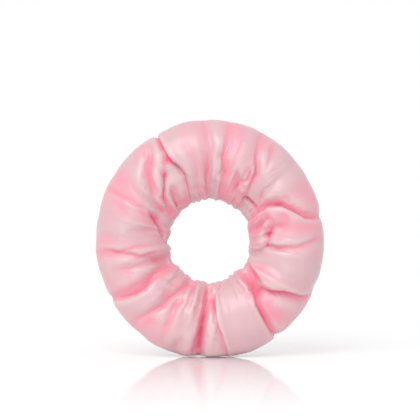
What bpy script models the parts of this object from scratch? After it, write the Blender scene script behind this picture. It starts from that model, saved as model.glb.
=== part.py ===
"""A gathered satin scrunchie: one strip of cloth sewn into a tube round a loop of flat elastic.

Frame: the ring's axis is Y and its face looks towards -Y. It stands on its lower edge on Z = 0,
with X = 0 and Y = 0 at its middle. Lengths are metres, angles are degrees.

A point of the tube is named by two angles. The ring angle goes round the opening from +X towards +Z.
The section angle goes round the tube's own section, from its outer rim over the back to its inner rim.

The cloth and the elastic stretch as one when the ring is pulled open sideways. The cover is made in a
left and a right half, so that the right half can slide away from the left one.
"""

import math

import bpy
from mathutils import Vector

# The gathered ring
RING_WIDTH = 0.110
RING_HEIGHT = 0.1145
OPENING_WIDTH = 0.0385
OPENING_HEIGHT = 0.0400
COVER_DEPTH = 0.032
FOOT_SINK = 0.0025

# The cover's cloth and its gathers
CLOTH_WALL = 0.0006
GATHERS = 16
GATHER_DEPTH = 0.0022
PIECE_GAP = 0.0003

# The flat elastic and its lapped join
ELASTIC_WIDTH = 0.0070
ELASTIC_THICKNESS = 0.0011
LAP_LENGTH = 0.0110
LAP_ANGLE = 180
LAP_RAMP = 24
JOIN_STITCHES = 5
JOIN_ROW_WIDTH = 0.0040
JOIN_ROW_LENGTH = 0.0072

# The sewing thread and the seams
THREAD = 0.0004
CLOSING_SEAM_ANGLE = 118
LONG_SEAM_SECTION_ANGLE = 118
GAP_START_ANGLE = 196
GAP_END_ANGLE = 240
GAP_STITCHES = 9
GAP_STITCH_REACH = 0.0010

# How finely the round shapes are divided
RING_STEPS = 96
SECTION_STEPS = 24
THREAD_RING_STEPS = 72
THREAD_RESOLUTION = 1

# Worked out from the sizes above
FULL_HEIGHT = RING_HEIGHT + FOOT_SINK
CENTRE_Z = RING_HEIGHT - FULL_HEIGHT / 2
TUBE_RING_X = (RING_WIDTH + OPENING_WIDTH) / 4
TUBE_RING_Z = (FULL_HEIGHT + OPENING_HEIGHT) / 4
TUBE_HALF_X = (RING_WIDTH - OPENING_WIDTH) / 4
TUBE_HALF_Z = (FULL_HEIGHT - OPENING_HEIGHT) / 4
TUBE_HALF_Y = COVER_DEPTH / 2

# The cover's flat facets cut inside its true curve by this much at most: round its section, and at a gather
SECTION_SAG = TUBE_HALF_X * (1 - math.cos(math.pi / SECTION_STEPS))
GATHER_SAG = GATHER_DEPTH / 2 * (1 - math.cos(math.pi * GATHERS / RING_STEPS))

# Depths under the cover's outer face, from the face inwards
SEAM_THREAD_DEPTH = CLOTH_WALL + SECTION_SAG + GATHER_SAG + PIECE_GAP + THREAD / 2
LONG_THREAD_DEPTH = SEAM_THREAD_DEPTH + THREAD + PIECE_GAP
THREAD_INNER_DEPTH = SEAM_THREAD_DEPTH + THREAD / 2
# A flat band spans the curved inner rim as a chord, so its edges decide how much deeper than the rim it sits
BAND_REACH = ELASTIC_WIDTH / 2 / (TUBE_HALF_Y - THREAD_INNER_DEPTH)
BAND_SAG = (TUBE_HALF_X - THREAD_INNER_DEPTH) * (1 - math.sqrt(1 - BAND_REACH ** 2))
BAND_DEPTH = THREAD_INNER_DEPTH + PIECE_GAP + BAND_SAG + SECTION_SAG + ELASTIC_THICKNESS / 2
LAP_STEP = ELASTIC_THICKNESS + PIECE_GAP


def clear_scene():
    for item in list(bpy.data.objects):
        bpy.data.objects.remove(item)


def make_collection(name):
    collection = bpy.data.collections.new(name)
    bpy.context.scene.collection.children.link(collection)
    return collection


def move_to(item, collection):
    for user in list(item.users_collection):
        user.objects.unlink(item)
    collection.objects.link(item)


def make_material(name, colour, roughness):
    material = bpy.data.materials.new(name)
    material.use_nodes = True
    shader = material.node_tree.nodes["Principled BSDF"]
    shader.inputs["Base Color"].default_value = (*colour, 1)
    shader.inputs["Roughness"].default_value = roughness
    shader.inputs["Metallic"].default_value = 0
    return material


def add_object(name, data, collection, material):
    item = bpy.data.objects.new(name, data)
    collection.objects.link(item)
    data.materials.append(material)
    return item


def tube_point(ring_angle, section_angle, depth=0.0):
    """A point of the gathered tube, this far under its outer face."""
    ring, section = math.radians(ring_angle), math.radians(section_angle)
    # 1 on a gather's crest and 0 in its valley; the gathers fade out towards the tight inner rim
    crest = (1 + math.cos(GATHERS * ring)) / 2
    valley = GATHER_DEPTH * (1 - crest) * (1 + math.cos(section)) / 2
    inset = depth + valley
    out_x = TUBE_RING_X + (TUBE_HALF_X - inset) * math.cos(section)
    out_z = TUBE_RING_Z + (TUBE_HALF_Z - inset) * math.cos(section)
    return Vector((
        math.cos(ring) * out_x,
        (TUBE_HALF_Y - inset) * math.sin(section),
        CENTRE_Z + math.sin(ring) * out_z,
    ))


def band_point(ring_angle, out=0.0, across=0.0):
    """A point of the elastic's middle surface, moved outwards and along the ring's axis."""
    ring = math.radians(ring_angle)
    reach_x = OPENING_WIDTH / 2 + BAND_DEPTH + out
    reach_z = OPENING_HEIGHT / 2 + BAND_DEPTH + out
    return Vector((math.cos(ring) * reach_x, across, CENTRE_Z + math.sin(ring) * reach_z))


def lap_half_angle(length):
    """Half the ring angle that a length of elastic takes up at its lap."""
    return math.degrees(length / 2 / (OPENING_WIDTH / 2 + BAND_DEPTH))


def make_cover_half(name, side, collection, cutters, material):
    """One half of the cover: a gathered torus, flattened where it stands, given its wall and cut at the middle."""
    bpy.ops.mesh.primitive_torus_add(
        major_segments=RING_STEPS,
        minor_segments=SECTION_STEPS,
        major_radius=TUBE_RING_X,
        minor_radius=TUBE_HALF_X,
        rotation=(math.pi / 2, 0, 0),
    )
    half = bpy.context.object
    bpy.ops.object.transform_apply(location=False, rotation=True, scale=True)
    half.name = name
    half.data.name = name
    move_to(half, collection)
    half.data.materials.append(material)

    for vertex in half.data.vertices:
        x, y, z = vertex.co
        ring_angle = math.degrees(math.atan2(z, x))
        section_angle = math.degrees(math.atan2(y, math.hypot(x, z) - TUBE_RING_X))
        vertex.co = tube_point(ring_angle, section_angle)
        vertex.co.z = max(vertex.co.z, 0)

    wall = half.modifiers.new("cloth_wall", "SOLIDIFY")
    wall.thickness = CLOTH_WALL
    wall.offset = -1

    # The block that the half is kept inside starts half a gap from the middle
    room = 2 * max(RING_WIDTH, FULL_HEIGHT)
    bpy.ops.mesh.primitive_cube_add(size=room, location=(side * (room + PIECE_GAP) / 2, 0, CENTRE_Z))
    block = bpy.context.object
    block.name = f"{name}_space"
    move_to(block, cutters)
    block.hide_render = True
    block.display_type = "WIRE"
    cut = half.modifiers.new("middle_cut", "BOOLEAN")
    cut.operation = "INTERSECT"
    cut.solver = "EXACT"
    cut.object = block
    half.data.shade_smooth()
    return half


def make_thread(name, points, closed, collection, material):
    """A thread of round section along the points."""
    data = bpy.data.curves.new(name, "CURVE")
    data.dimensions = "3D"
    data.bevel_depth = THREAD / 2
    data.bevel_resolution = THREAD_RESOLUTION
    data.use_fill_caps = not closed
    spline = data.splines.new("POLY")
    spline.points.add(len(points) - 1)
    for place, point in zip(spline.points, points):
        place.co = (*point, 1)
    spline.use_cyclic_u = closed
    return add_object(name, data, collection, material)


def lap_holes():
    """The ring angle and the place across the band of each stitch hole of the zigzag join."""
    half_angle = lap_half_angle(JOIN_ROW_LENGTH)
    holes = []
    for number in range(JOIN_STITCHES + 1):
        share = number / JOIN_STITCHES
        across = JOIN_ROW_WIDTH / 2 * (-1) ** number
        holes.append((LAP_ANGLE + half_angle * (2 * share - 1), across))
    return holes


def make_elastic_band(collection, cutters, material):
    """The flat elastic: a ribbon once round the opening and on over its own start, pierced by the join."""
    lap = 2 * lap_half_angle(LAP_LENGTH)
    start = LAP_ANGLE - lap / 2
    whole_turn = 360 + lap
    step = 360 / THREAD_RING_STEPS
    count = math.ceil(whole_turn / step)

    data = bpy.data.curves.new("elastic_band", "CURVE")
    data.dimensions = "3D"
    data.extrude = ELASTIC_WIDTH / 2
    spline = data.splines.new("POLY")
    spline.points.add(count)
    for number, place in enumerate(spline.points):
        turned = whole_turn * number / count
        # The ribbon's far end climbs by one layer just before it reaches its own start
        climb = min(1, max(0, (turned - (360 - LAP_RAMP)) / LAP_RAMP))
        rise = LAP_STEP * climb * climb * (3 - 2 * climb)
        point = band_point(start + turned, rise)
        # The curve lies flat in XY, because a curve's extrusion runs along its own Z
        place.co = (point.x, point.z, 0, 1)
    flat = bpy.data.objects.new("elastic_ribbon", data)
    flat.rotation_euler = (math.pi / 2, 0, 0)
    cutters.objects.link(flat)
    bpy.context.view_layer.update()

    graph = bpy.context.evaluated_depsgraph_get()
    ribbon = bpy.data.meshes.new_from_object(flat.evaluated_get(graph))
    ribbon.transform(flat.matrix_world)
    bpy.data.objects.remove(flat)
    band = add_object("elastic_band", ribbon, collection, material)
    thickness = band.modifiers.new("thickness", "SOLIDIFY")
    thickness.thickness = ELASTIC_THICKNESS
    thickness.offset = 0

    needle_radius = THREAD / 2 + PIECE_GAP
    for number, (ring_angle, across) in enumerate(lap_holes()[1:-1]):
        middle = band_point(ring_angle, LAP_STEP / 2, across)
        bpy.ops.mesh.primitive_cylinder_add(
            vertices=8,
            radius=needle_radius,
            depth=4 * LAP_STEP,
            location=middle,
            rotation=(0, math.pi / 2 - math.radians(ring_angle), 0),
        )
        needle = bpy.context.object
        needle.name = f"needle_hole_{number + 1}"
        move_to(needle, cutters)
        needle.hide_render = True
        needle.display_type = "WIRE"
        hole = band.modifiers.new(needle.name, "BOOLEAN")
        hole.operation = "DIFFERENCE"
        hole.solver = "EXACT"
        hole.object = needle
    return band


def make_join_stitches(collection, material):
    """The zigzag through both layers of the lap: over the outer layer, through, under the inner one, back."""
    holes = lap_holes()
    clear = ELASTIC_THICKNESS / 2 + PIECE_GAP + THREAD / 2
    outside, inside = LAP_STEP + clear, -clear
    points = []
    over = True
    for (angle_a, across_a), (angle_b, across_b) in zip(holes, holes[1:]):
        level = outside if over else inside
        for share in (0, 0.5, 1):
            angle = angle_a + (angle_b - angle_a) * share
            across = across_a + (across_b - across_a) * share
            points.append(band_point(angle, level, across))
        over = not over
    return make_thread("elastic_join_stitches", points, False, collection, material)


def make_seam_threads(collection, material):
    """The thread of the long seam, all round the tube's length, and of the closing seam across it."""
    around = [360 * number / THREAD_RING_STEPS for number in range(THREAD_RING_STEPS)]
    long_path = [tube_point(angle, LONG_SEAM_SECTION_ANGLE, LONG_THREAD_DEPTH) for angle in around]
    make_thread("long_seam_thread", long_path, True, collection, material)

    across = [360 * number / SECTION_STEPS for number in range(SECTION_STEPS)]
    closing_path = [tube_point(CLOSING_SEAM_ANGLE, angle, SEAM_THREAD_DEPTH) for angle in across]
    make_thread("closing_seam_thread", closing_path, True, collection, material)


def make_gap_stitches(collection, material):
    """The whip stitches that shut the turning gap in the long seam, on the outside of the cloth."""
    above = -(PIECE_GAP + THREAD / 2)
    reach = math.degrees(GAP_STITCH_REACH / TUBE_HALF_Y)
    points = []
    for number in range(2 * GAP_STITCHES + 1):
        share = number / (2 * GAP_STITCHES)
        ring_angle = GAP_START_ANGLE + (GAP_END_ANGLE - GAP_START_ANGLE) * share
        section_angle = LONG_SEAM_SECTION_ANGLE + reach * (-1) ** number
        points.append(tube_point(ring_angle, section_angle, above))
    make_thread("gap_stitches", points, False, collection, material)


def main():
    clear_scene()
    scrunchie = make_collection("scrunchie")
    cutters = make_collection("cutters")
    satin = make_material("pink_satin", (0.90, 0.48, 0.57), 0.42)
    elastic = make_material("white_braided_elastic", (0.86, 0.85, 0.83), 0.8)
    thread = make_material("pink_thread", (0.88, 0.42, 0.52), 0.6)

    make_cover_half("cover_left", -1, scrunchie, cutters, satin)
    make_cover_half("cover_right", 1, scrunchie, cutters, satin)
    make_elastic_band(scrunchie, cutters, elastic)
    make_join_stitches(scrunchie, thread)
    make_seam_threads(scrunchie, thread)
    make_gap_stitches(scrunchie, thread)


main()
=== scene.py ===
"""The finish of a gathered satin scrunchie: a strip of satin, sewn into a tube round flat elastic.

The ring's axis is Y and its face looks towards -Y. It stands on Z = 0. Lengths are metres and angles are
degrees, unless a name says otherwise. The ring angle goes round the opening from +X towards +Z.
"""

import math

import bpy
import numpy as np
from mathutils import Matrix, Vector


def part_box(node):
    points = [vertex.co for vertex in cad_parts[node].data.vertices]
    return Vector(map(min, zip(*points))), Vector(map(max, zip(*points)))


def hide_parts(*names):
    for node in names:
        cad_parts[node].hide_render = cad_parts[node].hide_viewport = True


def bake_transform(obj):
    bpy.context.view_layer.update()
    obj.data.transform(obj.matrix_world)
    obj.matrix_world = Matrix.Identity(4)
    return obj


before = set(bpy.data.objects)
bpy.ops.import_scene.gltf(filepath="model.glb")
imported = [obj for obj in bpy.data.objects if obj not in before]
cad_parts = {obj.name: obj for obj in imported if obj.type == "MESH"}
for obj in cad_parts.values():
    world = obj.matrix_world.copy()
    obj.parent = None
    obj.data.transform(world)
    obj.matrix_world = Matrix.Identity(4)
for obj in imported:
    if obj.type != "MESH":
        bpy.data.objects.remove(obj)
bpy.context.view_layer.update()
bpy.ops.object.select_all(action="DESELECT")


# ---- The satin cover -------------------------------------------------------------------------------------
# One strip of polyester satin, sewn right sides together along its length, turned out as a tube, pushed
# over the elastic and closed end to end. The elastic draws its inner rim up into tucks, and panels lap over
# them.

right_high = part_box("cover_right")[1]
elastic_low, elastic_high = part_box("elastic_band")
CENTRE = Vector((0, 0, (elastic_low.z + elastic_high.z) / 2))
# The ring as if it were not flattened where it stands: half sizes outside and at the opening
OUTER_X = right_high.x
OUTER_Z = right_high.z - CENTRE.z
# Below, the cloth only just presses on the table
OUTER_Z_BELOW = CENTRE.z + 0.0012
# How far the small pleats draw the inner rim back from the opening, on the whole
DRAWN_BACK = 0.0007
cover_points = np.array([v.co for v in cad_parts["cover_right"].data.vertices])
near_middle_height = abs(cover_points[:, 2] - CENTRE.z) < 0.002
OPENING_X = cover_points[near_middle_height, 0].min() - DRAWN_BACK
near_top = (cover_points[:, 0] < 0.004) & (cover_points[:, 2] > CENTRE.z)
OPENING_Z = cover_points[near_top, 2].min() - CENTRE.z - DRAWN_BACK
HALF_DEPTH = right_high.y

# The cut: how finely the strip is divided along and across, the width that makes the tube, and its cloth
STRIP_STEPS = 380
ROUND_STEPS = 80
TUBE_CUT = 0.105
CLOTH = 0.0003
CLOTH_LIFT = 0.0006
# Rows are counted across the cloth from the long seam, which lies on the back towards the inner rim
SEAM_ROW_FROM_OUTER_RIM = 54
INNER_RIM_ROW = (ROUND_STEPS // 2 - SEAM_ROW_FROM_OUTER_RIM) % ROUND_STEPS

# Tucks that run from the outer rim to the inner rim, on the face and the back, in order round the ring.
# Each has which neighbouring panel laps over it (-1 the one at smaller ring angles, 1 the one at larger
# ones), half its width in millimetres, and its path: (across from 0 at the outer rim to 1 at the inner,
# ring angle, depth in millimetres).
TUCKS = (
    (-0.8, 1.3, ((0, 12, 1.2), (0.1, 13, 2.5), (0.22, 15.3, 3.5), (0.37, 22.4, 4.5), (0.47, 28, 5),
                 (0.64, 32.8, 5), (0.82, 33, 4), (0.93, 31, 3), (1, 29, 2))),
    (0.6, 1.7, ((0, 63, 0.2), (0.1, 62.5, 0.8), (0.26, 59.5, 2), (0.45, 54, 4.5), (0.63, 52, 4),
                (0.8, 49.5, 2.4), (0.95, 47, 1.5), (1, 46, 1.3))),
    (0.2, 2.2, ((0, 80, 0.2), (0.1, 79.5, 1), (0.25, 79, 2), (0.42, 81, 2.8), (0.62, 77, 3),
                (0.74, 75, 1.4), (1, 74, 1.2))),
    (0, 2.4, ((0, 92, 0.3), (0.1, 91, 1.2), (0.34, 89, 1.8), (0.66, 92.5, 1.6), (0.85, 93, 1.4),
              (1, 90, 1.5))),
    (-0.5, 0.9, ((0, 118.5, 1.8), (0.12, 118.7, 3.4), (0.26, 118.8, 4.4), (0.38, 117.4, 4.8),
                 (0.49, 114.5, 4.8), (0.62, 112.5, 3), (0.8, 114, 1.8), (1, 117.5, 1.5))),
    (0.2, 2.6, ((0, 122, 0.2), (0.09, 123.5, 1.4), (0.2, 128.5, 3), (0.3, 132.5, 3.8), (0.47, 138, 3.6),
                (0.62, 144, 3.2), (0.82, 148.5, 2.6), (1, 150, 1.4))),
    (0.6, 1.4, ((0, 154, 0.1), (0.2, 154, 1.3), (0.4, 154, 1.4), (0.6, 153, 1.6), (0.8, 160, 4),
                (0.91, 171, 5), (1, 182.5, 3))),
    (-0.5, 1.6, ((0, 186, 0.2), (0.12, 185.5, 1.8), (0.2, 185.8, 2.8), (0.48, 189.5, 2.6),
                 (0.68, 194, 2.4), (0.84, 199, 2.4), (1, 203, 1.6))),
    (0.9, 1.6, ((0, 209, 1.2), (0.11, 210.6, 3), (0.31, 212, 4.6), (0.47, 212.4, 4.4), (0.7, 208.7, 3.2),
                (0.85, 208, 2.6), (1, 209.5, 2.2))),
    (0.3, 1.7, ((0, 226, 0.1), (0.15, 226, 1), (0.3, 228.5, 1.6), (0.51, 233, 3.2), (0.65, 233.5, 3.6),
                (0.8, 238, 2.6), (0.92, 242.5, 2.2), (1, 246.5, 2.2))),
    (-0.2, 1.5, ((0, 264, 1.6), (0.06, 264, 4.6), (0.27, 264, 6.5), (0.52, 264.8, 6), (0.71, 267, 4.5),
                 (0.92, 268, 3), (1, 268.5, 2))),
    (0.9, 0.8, ((0, 279, 0.5), (0.1, 278.5, 1.4), (0.32, 276.4, 2.6), (0.52, 273.6, 3.2),
                (0.84, 273.2, 3), (1, 286, 1.4))),
    (-0.8, 1.1, ((0, 306, 1.5), (0.07, 306, 3), (0.26, 307.2, 5.5), (0.5, 309.2, 5.5), (0.73, 314.2, 4.6),
                 (0.9, 318.5, 3.2), (1, 322, 2.4))),
    (0.2, 1.5, ((0, 362, 0.3), (0.12, 361, 1.2), (0.36, 356.5, 1.8), (0.6, 355.5, 2.4),
                (0.79, 355.8, 3.4), (0.9, 348, 2.4), (1, 340, 1.8))),
)
SEAM_TUCK = 4
# Shorter folds on the face, written in the same way
FACE_FOLDS = (
    # the coil beside the opening on the right, and the folds that run out of it
    (0.5, 1.5, ((0.66, 12, 0), (0.74, 8.5, 3.5), (0.82, 5, 5), (0.86, 359, 4), (0.84, 352, 0))),
    (-0.3, 1.2, ((0.62, 20, 0), (0.72, 22, 2), (0.84, 18, 2.5), (0.93, 14, 1.5), (1, 12, 0))),
    (0, 3.2, ((0.4, 13, 0), (0.55, 12, 1.8), (0.68, 14, 1.5), (0.76, 13, 0))),
    # the flap at the lower right
    (1, 1.3, ((0, 333, 0.8), (0.1, 329, 2.6), (0.2, 327.5, 4), (0.35, 325, 5), (0.5, 320, 5),
              (0.65, 318, 3), (0.72, 317, 0))),
    (0, 4, ((0.05, 312, 0), (0.2, 312.5, 2), (0.38, 313, 1.8), (0.5, 314, 0))),
    (0.4, 1.2, ((0.62, 322, 0), (0.75, 322, 2.2), (0.88, 326, 2.4), (1, 329, 1.2))),
    (0, 3, ((0.45, 341, 0), (0.6, 340, 1.4), (0.8, 338, 1.4), (0.9, 336, 0))),
    # the deep crease at the bottom widens towards the outer rim
    (0, 2.4, ((0, 261.8, 0.8), (0.06, 261.8, 3), (0.2, 262.4, 2.8), (0.42, 264, 0))),
    # beside the deep crease at the bottom
    (0, 2, ((0, 251, 0.8), (0.1, 251, 1.6), (0.28, 253, 0))),
    (0.3, 1.8, ((0.08, 243, 0), (0.25, 242.5, 1.2), (0.42, 242, 1.8), (0.6, 240.7, 2), (0.75, 243, 0))),
    (0, 3, ((0.1, 233.5, 0), (0.22, 233, 1.3), (0.38, 236, 0))),
    (0.4, 0.9, ((0.78, 250, 0), (0.9, 250.5, 1.8), (1, 249.5, 1.6))),
    # beside the closing seam
    (0, 1.3, ((0.22, 119, 0), (0.3, 120.5, 2.8), (0.4, 123, 4), (0.48, 125, 3.8), (0.58, 129.3, 3.4),
              (0.71, 137, 2.6), (0.88, 142, 1.8), (1, 146, 1.2))),
    (0, 2.2, ((0.34, 118, 0), (0.44, 118, 2), (0.56, 119, 2.6), (0.7, 121, 2), (0.85, 124, 1.2),
              (1, 126, 0.8))),
    (0, 0.8, ((0.6, 126, 0), (0.72, 128, 1.8), (0.86, 131.5, 2.4), (1, 134, 1.6))),
    (0, 3.4, ((0.1, 104, 0), (0.26, 104.9, 1.2), (0.52, 100, 1.1), (0.8, 103, 1.2), (0.95, 103, 0))),
    # the small loop at the top, and the folds round it
    (0.3, 1.0, ((0.42, 60.5, 0), (0.5, 58.5, 1.8), (0.57, 57.5, 2.2), (0.66, 61, 1.6), (0.74, 60, 0))),
    (0, 1.4, ((0.52, 68, 0), (0.62, 66.5, 2), (0.76, 64, 2), (0.9, 61, 1.2), (1, 59, 0.8))),
    (0, 2.2, ((0.02, 54.5, 0), (0.1, 54, 1), (0.3, 51, 0.8), (0.42, 49, 0))),
    (0, 3.5, ((0.1, 158, 0), (0.25, 160, 1.3), (0.42, 162, 0))),
    (0, 3.5, ((0.15, 195, 0), (0.35, 199, 1.2), (0.6, 201, 0))),
)
# Painted sheen: how pale each panel is painted, 0 to 1, by ring angle, where its floats would catch the
# light
PAINTED_SHEEN_BY_ANGLE = (
    (0, 0.6), (12, 0.3), (25, 0.1), (40, 0.9), (50, 0.7), (57, 0.25), (66, 0.6), (71, 0.3), (79, 0.15),
    (87, 0.9), (93, 0.4), (103, 0.55), (111, 0.85), (120, 0.2), (127, 0.7), (134, 0.1), (142, 0.8),
    (155, 0.2), (165, 0.6), (175, 0.8), (186, 0.25), (199, 0.7), (211, 0.1), (220, 0.95), (231, 0.25),
    (236, 0.5), (242, 0.35), (254, 0.95), (263, 0.1), (270, 0.85), (276, 0.5), (281, 1), (292, 0.95),
    (301, 0.8), (307, 0.05), (315, 0.3), (322, 0.5), (327, 0.15), (336, 0.9), (349, 0.9), (356, 0.5),
    (360, 0.6),
)
# Nicks in the inner rim where small pleats turn into the opening, by ring angle
RIM_NICKS = (59, 101, 110, 133, 162, 194, 222, 232, 256, 277, 296, 305, 331)
# Small gathers that run out from the inner rim, drawn by chance: how many, the most each may be deep and
# half wide in millimetres, how far they turn from straight, and the stretches of the face left smooth
GATHERS = 80
GATHER_DEPTH = 2.0
GATHER_HALF_WIDTH = 2.2
GATHER_TURN = 9
SMOOTH_PANELS = ((281, 303), (331, 352), (16, 30), (100, 112))
# Low ripples that run across the strip: how many go round the ring, and their height in millimetres
RIPPLES = ((13, 0.30), (21, 0.28), (34, 0.16))
LAP_LEAN = 0.3
LAP_OPENING = 1.6
# How deep a fold may go, in millimetres: at the inner rim the elastic stops it
DEPTH_ACROSS = (0, 0.9, 0.965, 1)
DEEPEST = (11.0, 11.0, 3.2, 2.6)
BACK_WANDER = 6.0
BACK_DEEPER = 1.5
SEED = 3

tuck_count = len(TUCKS)
chance = np.random.default_rng(SEED)
back_wander = chance.uniform(-BACK_WANDER, BACK_WANDER, (tuck_count, 2))
ripple_phase = chance.uniform(0, 2 * math.pi, len(RIPPLES))
ripple_slant = chance.uniform(-2.5, 2.5, len(RIPPLES))
gathers = []
for number in range(GATHERS):
    at_rim = (number + chance.uniform(0, 1)) * 360 / GATHERS
    turn = chance.uniform(-GATHER_TURN, GATHER_TURN)
    reach, middle = chance.uniform(0.05, 0.65), chance.uniform(0.35, 1)
    depth = GATHER_DEPTH * chance.uniform(0.35, 1) * (-0.6 if number % 5 in (1, 3) else 1)
    halfway = ((reach + 1) / 2, at_rim + turn * 0.4, depth)
    path = ((reach, at_rim + turn, 0), halfway, (1, at_rim, depth * middle * 0.5))
    smooth = any(low < at_rim + turn * 0.5 < high for low, high in SMOOTH_PANELS)
    gathers.append((chance.uniform(-0.5, 0.5), GATHER_HALF_WIDTH * chance.uniform(0.3, 1), path, smooth))


def ease(value, low, high):
    share = min(1, max(0, (value - low) / (high - low)))
    return share * share * (3 - 2 * share)


def on_path(path, across):
    """The ring angle and the depth of a fold at this place across the cloth."""
    places, angles, depths = zip(*path)
    return np.interp(across, places, angles), np.interp(across, places, depths, left=0, right=0)


def fold_profile(ring_angles, angle, radius, half_width, lap):
    """1 at the bottom of a fold and 0 on the panels, steep on the side whose panel laps over it."""
    away = np.radians((ring_angles - angle + 180) % 360 - 180) * radius * 1000
    reach = np.where(away * lap < 0, half_width * (1 + LAP_OPENING * abs(lap)), half_width)
    return np.exp(-((np.abs(away) / reach) ** 1.4))


def cloth_row(ring_angles, section):
    """The cloth at one section angle (radians from the outer rim over the face): its points, how deep they
    lie in folds, and the ring angles of the tucks."""
    across = (1 - math.cos(section)) / 2
    on_back = ease(-math.sin(section), 0, 0.5)
    on_face = ease(math.sin(section), 0, 0.5)
    radius = (OUTER_X + OPENING_X) / 2 + (OUTER_X - OPENING_X) / 2 * math.cos(section)
    inset = np.zeros_like(ring_angles)
    lean = np.zeros_like(ring_angles)
    tuck_angles = np.zeros(tuck_count)
    folds = []
    for number, (lap, half_width, path) in enumerate(TUCKS):
        angle, depth = on_path(path, across)
        swing = back_wander[number, 0] * math.sin(across * math.pi)
        swing += back_wander[number, 1] * math.sin(across * 2 * math.pi)
        angle += on_back * swing
        depth *= 1 + on_back * BACK_DEEPER * math.sin(across * math.pi)
        tuck_angles[number] = angle
        folds.append((lap, half_width, angle, depth))
    for lap, half_width, path in FACE_FOLDS:
        angle, depth = on_path(path, across)
        folds.append((lap, half_width, angle, depth * on_face))
    for lap, half_width, path, smooth in gathers:
        angle, depth = on_path(path, across)
        folds.append((lap, half_width, angle, depth * (1 - on_face) if smooth else depth))
    nick = ease(across, 0.86, 1) * (1.2 + on_back)
    folds += [(0, 0.8, angle, nick) for angle in RIM_NICKS]
    for lap, half_width, angle, depth in folds:
        if depth:
            profile = depth * fold_profile(ring_angles, angle, radius, half_width, lap)
            inset += profile
            lean += lap * profile
    ring = np.radians(ring_angles)
    fullness = (0.45 + 0.55 * ease(across, 0, 0.5)) * (1 - 0.7 * ease(across, 0.8, 1))
    for (count, height), phase, slant in zip(RIPPLES, ripple_phase, ripple_slant):
        inset += fullness * height * np.sin(ring * count + phase + slant * across)
    deepest = np.interp(across, DEPTH_ACROSS, DEEPEST)
    inset = deepest * np.tanh(inset / deepest) / 1000
    lean = lean * LAP_LEAN / 1000

    # The section is fuller towards the outside and narrows towards the elastic
    turn = math.cos(section)
    half_y = HALF_DEPTH * (1 + 0.14 * turn - 0.10 * turn * turn)
    out_x = (OUTER_X + OPENING_X) / 2 + ((OUTER_X - OPENING_X) / 2 - inset) * turn
    outer_z = np.where(np.sin(ring) > 0, OUTER_Z, OUTER_Z_BELOW)
    out_z = (outer_z + OPENING_Z) / 2 + ((outer_z - OPENING_Z) / 2 - inset) * turn
    ring = ring + lean / np.hypot(np.cos(ring) * out_x, np.sin(ring) * out_z)
    points = np.stack([
        np.cos(ring) * out_x,
        -(half_y - inset * 0.9) * math.sin(section),
        CENTRE.z + np.sin(ring) * out_z,
    ], axis=1)
    return points, inset, tuck_angles


def lengths_along(points):
    return np.append(0, np.cumsum(np.linalg.norm(np.diff(points, axis=0), axis=1)))


# The strip runs round from the closing seam. Each panel takes the same share of every row of the cloth.
first_angle = TUCKS[SEAM_TUCK][2][0][1]
fine_angles = np.linspace(first_angle, first_angle + 360, 6001)
from_seam = [(SEAM_TUCK + number) % tuck_count for number in range(tuck_count)]
strip_places = np.linspace(0, 1, STRIP_STEPS + 1)
gathered = np.zeros((STRIP_STEPS + 1, ROUND_STEPS, 3))
fold_depth = np.zeros((STRIP_STEPS + 1, ROUND_STEPS))
strip_marks = None
for rows_from_rim in range(ROUND_STEPS):
    row = (rows_from_rim - SEAM_ROW_FROM_OUTER_RIM) % ROUND_STEPS
    points, inset, angles = cloth_row(fine_angles, 2 * math.pi * rows_from_rim / ROUND_STEPS)
    along = lengths_along(points)
    between = (angles + np.append(angles[1:], angles[0] + 360)) / 2
    seam_at = np.interp((angles[SEAM_TUCK] - first_angle) % 360 + first_angle, fine_angles, along)
    marks = np.interp((between[from_seam] - first_angle) % 360 + first_angle, fine_angles, along)
    marks = np.concatenate([[0], (marks - seam_at) % along[-1], [along[-1]]])
    if strip_marks is None:
        strip_marks = marks / along[-1]
        STRIP_LENGTH = along[-1]
    places = (seam_at + np.interp(strip_places, strip_marks, marks)) % along[-1]
    places[-1] = places[0]
    for axis in range(3):
        gathered[:, row, axis] = np.interp(places, along, points[:, axis])
    fold_depth[:, row] = np.interp(places, along, inset) * 1000
    # Painted sheen: each column of the strip takes its paleness from the ring angle it has on the face
    if rows_from_rim == round(ROUND_STEPS * 0.22):
        face_angles = np.interp(places, along, fine_angles) % 360
        painted_sheen_by_step = np.interp(face_angles, *zip(*PAINTED_SHEEN_BY_ANGLE))
gathered[:, :, 2] = np.maximum(gathered[:, :, 2], CLOTH_LIFT)

# The flat cut, with its own UV map, is rolled into a straight tube and its long edges are sewn together
bpy.ops.mesh.primitive_grid_add(x_subdivisions=STRIP_STEPS, y_subdivisions=ROUND_STEPS, size=1)
cover = bpy.context.object
cover.name = "satin_cover"
cloth = cover.data
cloth.uv_layers[0].name = "cloth"
flat = np.array([v.co for v in cloth.vertices]) + 0.5
tube_radius = TUBE_CUT / 2 / math.pi
roll = 2 * math.pi * flat[:, 1]
rolled_y, rolled_z = -np.sin(roll) * tube_radius, np.cos(roll) * tube_radius
rolled = np.stack([flat[:, 0] * STRIP_LENGTH, rolled_y, rolled_z], axis=1)
cloth.vertices.foreach_set("co", rolled.ravel())
bpy.ops.object.mode_set(mode="EDIT")
bpy.ops.mesh.select_all(action="SELECT")
bpy.ops.mesh.remove_doubles(threshold=0.00001)
bpy.ops.object.mode_set(mode="OBJECT")
rolled = np.array([v.co for v in cloth.vertices])
step = np.rint(rolled[:, 0] / STRIP_LENGTH * STRIP_STEPS).astype(int)
turned = np.arctan2(-rolled[:, 1], rolled[:, 2]) / 2 / math.pi
row = np.rint(turned * ROUND_STEPS).astype(int) % ROUND_STEPS

# The simulation is run 20 times life size, because Blender's cloth is tuned for clothes on a person
SIM_SCALE = 20
SIM_FRAMES = 12
# Cloth starts to be held at the first depth in a fold, in millimetres, and is held fast from the second
LOOSE_DEPTH = 0.8
HELD_DEPTH = 2.0
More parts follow.
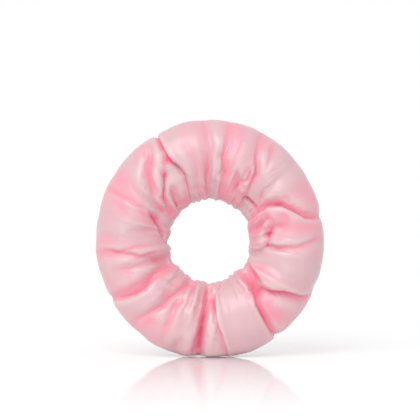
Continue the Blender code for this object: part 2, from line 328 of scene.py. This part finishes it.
# It starts to be held at the first count of rows from the inner rim, and is held fast within the second
LOOSE_ROWS = 14
HELD_ROWS = 8
cloth.vertices.foreach_set("co", (gathered[step, row] * SIM_SCALE).ravel())
# The closing seam, the bottoms of the folds and the cloth that the elastic holds stay where they are
held = cover.vertex_groups.new(name="held")
from_rim = np.abs(row - INNER_RIM_ROW)
from_rim = np.minimum(from_rim, ROUND_STEPS - from_rim)
hold = np.clip((fold_depth[step, row] - LOOSE_DEPTH) / (HELD_DEPTH - LOOSE_DEPTH), 0, 1)
hold = np.maximum(hold, np.clip((LOOSE_ROWS - from_rim) / (LOOSE_ROWS - HELD_ROWS), 0, 1))
hold[(step == 0) | (step == STRIP_STEPS)] = 1
for level in range(1, 11):
    held.add(np.flatnonzero(np.rint(hold * 10) == level).tolist(), level / 10, "REPLACE")
bpy.ops.object.modifier_add(type="CLOTH")
settle = cover.modifiers[0]
settings = settle.settings
settings.quality = 6
settings.mass = 0.3
settings.tension_stiffness = 80
settings.compression_stiffness = 80
settings.shear_stiffness = 10
settings.bending_stiffness = 1
settings.tension_damping = 10
settings.compression_damping = 10
settings.shear_damping = 10
settings.bending_damping = 1
settings.air_damping = 2
settings.vertex_group_mass = "held"
settings.shrink_min = -0.008
settings.use_pressure = True
settings.uniform_pressure_force = 0.1
settings.effector_weights.gravity = 0
settle.collision_settings.distance_min = 0.006
settle.point_cache.frame_start = 1
settle.point_cache.frame_end = SIM_FRAMES
bpy.ops.mesh.primitive_plane_add(size=6)
table = bpy.context.object
bpy.ops.object.modifier_add(type="COLLISION")
table.collision.thickness_outer = 0.006
for frame_number in range(1, SIM_FRAMES + 1):
    bpy.context.scene.frame_set(frame_number)
bpy.ops.object.select_all(action="DESELECT")
cover.select_set(True)
bpy.context.view_layer.objects.active = cover
bpy.ops.object.convert(target="MESH")
bpy.data.objects.remove(table)
bpy.context.scene.frame_set(1)
cloth = cover.data
cover.scale = (1 / SIM_SCALE,) * 3
bpy.ops.object.transform_apply(location=False, rotation=False, scale=True)

# The settled cloth, as a grid of points and outward normals that the seams and stitches follow too
settled = np.zeros((STRIP_STEPS + 1, ROUND_STEPS, 3))
settled[step, row] = [v.co for v in cloth.vertices]
settled[:, :, 2] = np.maximum(settled[:, :, 2], CLOTH_LIFT)
# Cloth that reaches the elastic is pressed clear of it, towards the opening or to its side
ELASTIC_THICKNESS = 0.0011
ELASTIC_ROOM = 0.0009
LAP_ROOM = 0.0022
from_centre = np.hypot(settled[:, :, 0], settled[:, :, 2] - CENTRE.z)
inwards = from_centre - (elastic_high.x - ELASTIC_THICKNESS - ELASTIC_ROOM)
sideways = elastic_high.y + ELASTIC_ROOM - abs(settled[:, :, 1])
in_elastic = (inwards > 0) & (sideways > 0) & (from_centre < elastic_high.x + LAP_ROOM)
pressed = np.where(in_elastic & (inwards <= sideways), 1 - inwards / from_centre, 1)
settled[:, :, 0] *= pressed
settled[:, :, 2] = CENTRE.z + (settled[:, :, 2] - CENTRE.z) * pressed
settled[:, :, 1] += np.where(in_elastic & (inwards > sideways), np.sign(settled[:, :, 1]) * sideways, 0)
wrapped = np.concatenate([settled[-2:-1], settled, settled[1:2]])
along_strip = wrapped[2:] - wrapped[:-2]
round_tube = np.roll(settled, -1, axis=1) - np.roll(settled, 1, axis=1)
outward = np.cross(along_strip, round_tube)
outward /= np.linalg.norm(outward, axis=2, keepdims=True)
# How far each point lies below its neighbourhood, which tells a crease from a panel. Deep folds count more.
CREASE_ROUNDS = 9
DEEP_FOLD = 2
DEEP_FOLD_SPAN = 3
DEEP_FOLD_SHARE = 0.14
around_it = settled[:-1].copy()
for _ in range(CREASE_ROUNDS):
    shifted = [np.roll(around_it, turn, axis) for axis in (0, 1) for turn in (1, -1)]
    around_it = (around_it + sum(shifted)) / 5
below = ((around_it - settled[:-1]) * outward[:-1]).sum(axis=2) * 1000
below = np.concatenate([below, below[:1]])
below += np.clip(fold_depth - DEEP_FOLD, 0, DEEP_FOLD_SPAN) * DEEP_FOLD_SHARE
# The crease attribute paints shade into the satin's creases and a highlight on its ridges
crease = cloth.attributes.new("crease", "FLOAT", "POINT")
crease.data.foreach_set("value", below[step, row].astype(np.float32))
# Painted sheen: each point keeps its column's paleness, for the satin's colour
painted_sheen = cloth.attributes.new("painted_sheen", "FLOAT", "POINT")
painted_sheen.data.foreach_set("value", painted_sheen_by_step[step].astype(np.float32))
cloth.vertices.foreach_set("co", settled[step, row].ravel())

# The tube's two ends are sewn together at the closing seam, and the cloth gets its thickness
bpy.ops.object.mode_set(mode="EDIT")
bpy.ops.mesh.select_all(action="SELECT")
bpy.ops.mesh.remove_doubles(threshold=0.00001)
bpy.ops.mesh.faces_shade_smooth()
bpy.ops.object.mode_set(mode="OBJECT")
bpy.ops.object.modifier_add(type="SOLIDIFY")
cover.modifiers[0].thickness = CLOTH
cover.modifiers[0].offset = -1
bpy.ops.object.modifier_apply(modifier=cover.modifiers[0].name)


class Shade:
    """One socket of a material. Sums written with it add their own Math nodes."""

    def __init__(self, tree, socket=None):
        self.tree = tree
        self.socket = socket

    def node(self, kind, inputs, output=0, **settings):
        """A new node of this kind: its settings are set first, then its sockets' values or links."""
        made = self.tree.nodes.new("ShaderNode" + kind)
        for name, value in settings.items():
            setattr(made, name, value)
        for name, value in inputs.items():
            if isinstance(value, Shade):
                self.tree.links.new(value.socket, made.inputs[name])
            else:
                made.inputs[name].default_value = value
        return Shade(self.tree, made.outputs[output])

    def maths(self, operation, first, second=0.0, third=0.0):
        return self.node("Math", {0: first, 1: second, 2: third}, operation=operation)

    def __add__(self, other):
        return self.maths("ADD", self, other)

    def __radd__(self, other):
        return self.maths("ADD", other, self)

    def __sub__(self, other):
        return self.maths("SUBTRACT", self, other)

    def __rsub__(self, other):
        return self.maths("SUBTRACT", other, self)

    def __mul__(self, other):
        return self.maths("MULTIPLY", self, other)

    def __rmul__(self, other):
        return self.maths("MULTIPLY", other, self)

    def __truediv__(self, other):
        return self.maths("DIVIDE", self, other)

    def ramp(self, low, high):
        """0 below low, 1 above high, and a smooth step between."""
        settings = {"Value": self, "From Min": low, "From Max": high}
        return self.node("MapRange", settings, interpolation_type="SMOOTHSTEP")

    def blend(self, first, second):
        """The first colour where this is 0, and the second where it is 1."""
        return self.node("Mix", {"Factor": self, "A": first, "B": second}, output=2, data_type="RGBA")


def finish_with(name):
    """A new material: itself, its Principled surface, and a Shade to build its nodes from."""
    material = bpy.data.materials.new(name)
    material.use_nodes = True
    tree = material.node_tree
    return material, tree.nodes["Principled BSDF"], Shade(tree)


# Polyester satin in pale rose: soft shine on the floats, and painted shade, a deeper rose, in the creases
satin, surface, shade = finish_with("rose_satin")
uv = shade.node("UVMap", {}, uv_map="cloth")
cut = shade.node("SeparateXYZ", {"Vector": uv})
share_across = Shade(satin.node_tree, cut.socket.node.outputs["Y"])
along_mm = cut * (STRIP_LENGTH * 1000)
across_mm = share_across * (TUBE_CUT * 1000)
on_cut = shade.node("CombineXYZ", {"X": along_mm, "Y": across_mm})
on_cut_long = shade.node("CombineXYZ", {"X": along_mm, "Y": across_mm * 0.35})
depth_mm = shade.node("Attribute", {}, output=2, attribute_name="crease")

panel_sheen = shade.node("Attribute", {}, output=2, attribute_name="painted_sheen")
# Painted sheen and random tone on the panels, a painted highlight on ridges, painted shade in the creases
clouds = shade.node("TexNoise", {"Vector": on_cut_long, "Scale": 0.12, "Detail": 2.0, "Roughness": 0.55})
PALE_TONE_AND_SHEEN = (0.665, 0.425, 0.452, 1)
ROSE = (0.820, 0.312, 0.392, 1)
CREASE_SHADE = (0.860, 0.115, 0.230, 1)
RIDGE_HIGHLIGHT = (0.720, 0.500, 0.515, 1)
# Painted sheen, with some random tone, makes panels paler; painted shade takes it away in creases
sheen_and_tone = (panel_sheen * 0.95 + (clouds - 0.5) * 0.15 - depth_mm * 0.5).ramp(0.15, 0.95)
creased = depth_mm.ramp(0.2, 1.2)
# Painted highlight: ridges, which stand above their neighbourhood, are painted paler
ridge_highlight = (depth_mm * -1).ramp(0.15, 0.7)
on_panel = (ridge_highlight * 0.85).blend(sheen_and_tone.blend(ROSE, PALE_TONE_AND_SHEEN), RIDGE_HIGHLIGHT)
# Painted shade: creases are painted a deeper rose, darker the deeper they lie
colour = (creased * 0.9).blend(on_panel, CREASE_SHADE)
satin.node_tree.links.new(colour.socket, surface.inputs["Base Color"])

# Long crinkles that run across the strip, finer crush marks, the satin's floats and the puckered seams
crinkle_size = {"Scale": 0.17, "Detail": 1.5, "Roughness": 0.55, "Distortion": 0.6}
crinkle = shade.node("TexNoise", {"Vector": on_cut_long, **crinkle_size})
crush = shade.node("TexNoise", {"Vector": on_cut, "Scale": 0.7, "Detail": 2.0, "Roughness": 0.5})
THREAD_PITCH = 0.22
FLOAT_LENGTH = 1.1
thread_number = shade.maths("FLOOR", across_mm / THREAD_PITCH)
thread_round = shade.maths("ABSOLUTE", shade.maths("SINE", across_mm * (math.pi / THREAD_PITCH)))
float_place = shade.maths("FRACT", along_mm / FLOAT_LENGTH + thread_number * 0.4)
float_end = shade.maths("ABSOLUTE", float_place - 0.5).ramp(0.5, 0.38)
weave = thread_round * float_end
to_long_seam = shade.maths("MINIMUM", share_across, 1 - share_across) * (TUBE_CUT * 1000)
to_closing_seam = shade.maths("MINIMUM", cut, 1 - cut) * (STRIP_LENGTH * 1000)
to_seam = shade.maths("MINIMUM", to_long_seam, to_closing_seam)
stitch_pull = shade.maths("SINE", along_mm * (2 * math.pi / 2.5)) * (1 - to_long_seam.ramp(0.3, 4.0))
seam_groove = 1 - to_seam.ramp(0.05, 0.9)
folded = 1 - shade.maths("ABSOLUTE", crinkle * 2 - 1)
height = crinkle * 0.5 + folded * 0.3 + crush * 0.04 + weave * 0.006
height = height + stitch_pull * 0.07 - seam_groove * 0.35
bump = shade.node("Bump", {"Height": height, "Distance": 0.001, "Strength": 0.75})
satin.node_tree.links.new(bump.socket, surface.inputs["Normal"])
rough = 0.26 + crush * 0.14 + creased * 0.15
satin.node_tree.links.new(rough.socket, surface.inputs["Roughness"])
surface.inputs["Sheen Weight"].default_value = 0.15
surface.inputs["Sheen Roughness"].default_value = 0.4
surface.inputs["Specular IOR Level"].default_value = 0.6
cover.data.materials.clear()
cover.data.materials.append(satin)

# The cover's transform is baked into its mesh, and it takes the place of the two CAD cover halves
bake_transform(cover)
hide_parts("cover_left", "cover_right")


# ---- The elastic -----------------------------------------------------------------------------------------
# A loop of flat braided elastic, polyester over rubber cords, 7 mm wide. It lies inside the tube at the
# inner rim, and its ends lap over each other on the left.

ELASTIC_RIBS = 9
RIB_HEIGHT = 0.00011
LAP_STEP = ELASTIC_THICKNESS + CLOTH
LAP_START = 165.0
LAP_END = 195.0
LAP_RAMP = 24.0
band_x = elastic_high.x - ELASTIC_THICKNESS / 2
band_z = elastic_high.z - CENTRE.z - ELASTIC_THICKNESS / 2
band_half = elastic_high.y


def on_band(ring_angle, out=0.0, across=0.0):
    """A point of the elastic's middle, moved outwards and along the ring's axis."""
    ring = math.radians(ring_angle)
    return (math.cos(ring) * (band_x + out), across, CENTRE.z + math.sin(ring) * (band_z + out))


BAND_STEPS = 360
EDGE_STEPS = 44
bpy.ops.mesh.primitive_grid_add(x_subdivisions=BAND_STEPS, y_subdivisions=EDGE_STEPS, size=1)
elastic = bpy.context.object
elastic.name = "braided_elastic"
elastic.data.uv_layers[0].name = "braid"
for point in elastic.data.vertices:
    turned = (point.co.x + 0.5) * (360 + LAP_END - LAP_START)
    # The far end climbs on to the outside of the near end
    rise = LAP_STEP * ease(turned, 360 - LAP_RAMP, 360)
    edge = 2 * math.pi * (point.co.y + 0.5)
    across = math.sin(edge) * abs(math.sin(edge)) ** -0.35 if abs(math.sin(edge)) > 0.001 else 0
    rib = RIB_HEIGHT * (1 + math.cos(across * math.pi * ELASTIC_RIBS)) / 2
    thick = (ELASTIC_THICKNESS / 2 - RIB_HEIGHT + rib) * min(1, 4 * (1 - abs(across))) ** 0.5
    out = thick if math.cos(edge) > 0 else -thick
    point.co = on_band(LAP_START + turned, rise + out, across * band_half)
bpy.ops.object.mode_set(mode="EDIT")
bpy.ops.mesh.select_all(action="SELECT")
bpy.ops.mesh.remove_doubles(threshold=0.00002)
bpy.ops.mesh.select_all(action="DESELECT")
bpy.ops.mesh.select_mode(type="EDGE")
bpy.ops.mesh.select_non_manifold()
bpy.ops.mesh.fill()
bpy.ops.mesh.select_all(action="SELECT")
bpy.ops.mesh.normals_make_consistent(inside=False)
bpy.ops.mesh.faces_shade_smooth()
bpy.ops.object.mode_set(mode="OBJECT")

braided, surface, shade = finish_with("white_braided_elastic")
uv = shade.node("UVMap", {}, uv_map="braid")
place = shade.node("SeparateXYZ", {"Vector": uv})
across_band = Shade(braided.node_tree, place.socket.node.outputs["Y"])
plait_a = shade.maths("SINE", (place * 190 + across_band * 18) * (2 * math.pi))
plait_b = shade.maths("SINE", (place * 190 - across_band * 18) * (2 * math.pi))
plait = shade.maths("MAXIMUM", plait_a, plait_b)
fuzz = shade.node("TexNoise", {"Vector": uv, "Scale": 900.0, "Detail": 2.0})
bump = shade.node("Bump", {"Height": plait * 0.05 + fuzz * 0.03, "Distance": 0.001})
braided.node_tree.links.new(bump.socket, surface.inputs["Normal"])
# Painted shade: the white braid is painted darker in the grooves between its plaits
braid_with_groove_shade = plait.ramp(-0.4, 1).blend((0.62, 0.60, 0.57, 1), (0.86, 0.85, 0.82, 1))
braided.node_tree.links.new(braid_with_groove_shade.socket, surface.inputs["Base Color"])
surface.inputs["Roughness"].default_value = 0.8
elastic.data.materials.append(braided)
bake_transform(elastic)
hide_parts("elastic_band")


# ---- The elastic's join ----------------------------------------------------------------------------------
# White polyester thread in a three-row zigzag through both layers of the lap, sewn by machine before the
# tube is closed.

THREAD_RADIUS = 0.00018
JOIN_ROWS = (-0.0018, 0, 0.0018)
JOIN_ZIGZAGS = 14
JOIN_HALF_WIDTH = 0.0007


def make_thread(name, paths, closed, sides, material, *nodes):
    """Thread along these paths, as one mesh that stands for these CAD nodes, which it hides."""
    bpy.ops.curve.primitive_nurbs_path_add()
    thread = bpy.context.object
    thread.name = name
    run = thread.data
    run.splines.clear()
    run.bevel_depth = THREAD_RADIUS
    run.bevel_resolution = sides
    run.use_fill_caps = True
    for path in paths:
        spline = run.splines.new("POLY")
        spline.points.add(len(path) - 1)
        for point, place in zip(spline.points, path):
            point.co = (*place, 1)
        spline.use_cyclic_u = closed
        spline.use_smooth = True
    bpy.ops.object.convert(target="MESH")
    thread.data.materials.clear()
    thread.data.materials.append(material)
    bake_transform(thread)
    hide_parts(*nodes)


def twisted_thread(name, light, ply_groove_shade, turns_per_metre):
    """Two plies of thread, twisted, with their relief and painted shade in the grooves between them."""
    material, surface, shade = finish_with(name)
    place = shade.node("TexCoord", {}, output=3)
    parts = shade.node("SeparateXYZ", {"Vector": place})
    depth = Shade(material.node_tree, parts.socket.node.outputs["Y"])
    height = Shade(material.node_tree, parts.socket.node.outputs["Z"])
    ply = shade.maths("SINE", (parts + depth * 1.7 + height * 1.3) * (2 * math.pi * turns_per_metre))
    # Painted shade: the grooves between the plies are painted darker
    colour = ply.ramp(-0.8, 0.6).blend(ply_groove_shade, light)
    material.node_tree.links.new(colour.socket, surface.inputs["Base Color"])
    bump = shade.node("Bump", {"Height": ply * 0.03, "Distance": 0.001})
    material.node_tree.links.new(bump.socket, surface.inputs["Normal"])
    surface.inputs["Roughness"].default_value = 0.6
    surface.inputs["Sheen Weight"].default_value = 0.3
    return material


white_thread = twisted_thread("white_thread", (0.85, 0.84, 0.82, 1), (0.6, 0.59, 0.57, 1), 1600)
join_paths = []
for level in (LAP_STEP + ELASTIC_THICKNESS / 2 + THREAD_RADIUS, -ELASTIC_THICKNESS / 2 - THREAD_RADIUS):
    for middle in JOIN_ROWS:
        path = []
        for number in range(JOIN_ZIGZAGS * 2 + 1):
            angle = LAP_START + 4 + (LAP_END - LAP_START - 8) * number / JOIN_ZIGZAGS / 2
            dip = 0.00014 if number % 2 == 0 else 0
            across = middle + JOIN_HALF_WIDTH * (1 - abs(number % 4 - 2))
            path.append(on_band(angle, level - math.copysign(dip, level), across))
        join_paths.append(path)
make_thread("elastic_join_zigzag", join_paths, False, 1, white_thread, "elastic_join_stitches")


# ---- The seams -------------------------------------------------------------------------------------------
# Rose polyester thread. The long seam is a lockstitch all along the strip, on the inside. The closing seam
# is the same round the tube. The gap left for turning is whip stitched by hand from the outside.

STITCH = 0.0025
THREAD_CROSSING = 0.0005
rose_thread = twisted_thread("rose_thread", (0.90, 0.50, 0.58, 1), (0.72, 0.26, 0.37, 1), 1400)


def on_cloth(along, across, lift):
    """A point at this share of the strip's length and of the tube's round, lifted off the settled cloth."""
    along = along * STRIP_STEPS
    across = across * ROUND_STEPS
    step, row = int(along // 1), int(across // 1)
    point, normal = np.zeros(3), np.zeros(3)
    for near_step, step_share in ((step, 1 - along % 1), (step + 1, along % 1)):
        for near_row, row_share in ((row, 1 - across % 1), (row + 1, across % 1)):
            corner = near_step % STRIP_STEPS, near_row % ROUND_STEPS
            point += settled[corner] * step_share * row_share
            normal += outward[corner] * step_share * row_share
    return point + normal / np.linalg.norm(normal) * lift


def under_cloth(number):
    """How far the lockstitch lies off the cloth at this quarter of a stitch: below it, in a small wave."""
    return -CLOTH - 2.2 * THREAD_RADIUS + 0.0001 * math.sin(number * math.pi / 2)


quarters = round(STRIP_LENGTH / STITCH) * 4
path = [on_cloth(number / quarters, 0, under_cloth(number)) for number in range(quarters)]
make_thread("long_seam_lockstitch", [path], True, 0, rose_thread, "long_seam_thread")
quarters = round(TUBE_CUT / STITCH) * 4
path = []
for number in range(quarters):
    # It passes under the long seam's thread
    across = number / quarters
    under = THREAD_CROSSING * ease(abs(across - 0.5), 0.46, 0.49)
    path.append(on_cloth(0, across, under_cloth(number) - under))
make_thread("closing_seam_lockstitch", [path], True, 0, rose_thread, "closing_seam_thread")

# The whip stitches cross the long seam's ridge, each a little further on, and dive into the cloth
GAP_START_ANGLE = 198
GAP_END_ANGLE = 238
WHIP_STITCH = 0.0032
seam_line = settled[:-1, 0]
seam_angles = np.degrees(np.arctan2(seam_line[:, 2] - CENTRE.z, seam_line[:, 0])) % 360
turned = np.maximum.accumulate((seam_angles - first_angle + 5) % 360)
first_share = np.interp(GAP_START_ANGLE - first_angle + 5, turned, strip_places[:-1])
last_share = np.interp(GAP_END_ANGLE - first_angle + 5, turned, strip_places[:-1])
whip_count = round((last_share - first_share) * STRIP_LENGTH / WHIP_STITCH)
whips = []
for number in range(whip_count):
    share = first_share + (last_share - first_share) * number / (whip_count - 1)
    path = []
    for forward, sideways, lift in (
        (0, -0.0012, -0.0005),
        (0.0001, -0.0011, 0.0001),
        (0.0004, -0.0006, 0.00028),
        (0.0008, 0, 0.00032),
        (0.0012, 0.0006, 0.00028),
        (0.0015, 0.0011, 0.0001),
        (0.0016, 0.0012, -0.0005),
    ):
        path.append(on_cloth(share + forward / STRIP_LENGTH, (sideways / TUBE_CUT) % 1, lift))
    whips.append(path)
make_thread("gap_whip_stitches", whips, False, 2, rose_thread, "gap_stitches")


# ---- The set ---------------------------------------------------------------------------------------------
# A plain white glossy table that runs out of sight, soft light from all round and a little more from above
# in front.

bpy.ops.mesh.primitive_plane_add(size=12)
table = bpy.context.object
table.name = "table"
gloss = bpy.data.materials.new("white_table")
gloss.use_nodes = True
nodes = gloss.node_tree.nodes
nodes.clear()
shade = Shade(gloss.node_tree)
matt = shade.node("BsdfDiffuse", {"Color": (1, 1, 1, 1)})
shine = shade.node("BsdfGlossy", {"Color": (1, 1, 1, 1), "Roughness": 0.06})
# The reflection is strong under the ring, fades away from it, and is weaker seen from above
from_ring = shade.node("SeparateXYZ", {"Vector": shade.node("TexCoord", {}, output=3)}, output=1)
grazing = shade.node("LayerWeight", {"Blend": 0.5}, output=1)
polish = shade.maths("ABSOLUTE", from_ring).ramp(0.3, 0) * grazing * 0.62
mixed = shade.node("MixShader", {0: polish, 1: matt, 2: shine})
output = nodes.new("ShaderNodeOutputMaterial")
gloss.node_tree.links.new(mixed.socket, output.inputs["Surface"])
table.data.materials.append(gloss)

world = bpy.data.worlds.new("studio")
bpy.context.scene.world = world
world.use_nodes = True
world.node_tree.nodes["Background"].inputs["Color"].default_value = (1, 1, 1, 1)
# The surroundings look white, and light the cloth less than they look, so that the softbox shapes it
surroundings = Shade(world.node_tree)
on_matt = surroundings.node("LightPath", {}, output=2)
strength = 1 - on_matt * 0.3
world.node_tree.links.new(strength.socket, world.node_tree.nodes["Background"].inputs["Strength"])

AIM = Vector((0, 0, 0.071))
SUN_FROM = Vector((-0.3, -0.8, 0.8))
bpy.ops.object.light_add(type="SUN", location=SUN_FROM)
softbox = bpy.context.object
softbox.name = "softbox"
softbox.data.energy = 1.55
softbox.data.angle = math.radians(45)
softbox.rotation_euler = SUN_FROM.to_track_quat("Z", "Y").to_euler()

# A long lens, nearly level with the table
CAMERA_DISTANCE = 1.2
CAMERA_RISE = 1.5
VIEW_WIDTH = 0.2035
rise = math.radians(CAMERA_RISE)
away = Vector((0, -math.cos(rise), math.sin(rise)))
bpy.ops.object.camera_add(location=AIM + away * CAMERA_DISTANCE)
camera = bpy.context.object
camera.rotation_euler = away.to_track_quat("Z", "Y").to_euler()
camera.data.lens = camera.data.sensor_width * CAMERA_DISTANCE / VIEW_WIDTH
bpy.context.scene.camera = camera
bpy.context.scene.view_settings.view_transform = "Standard"
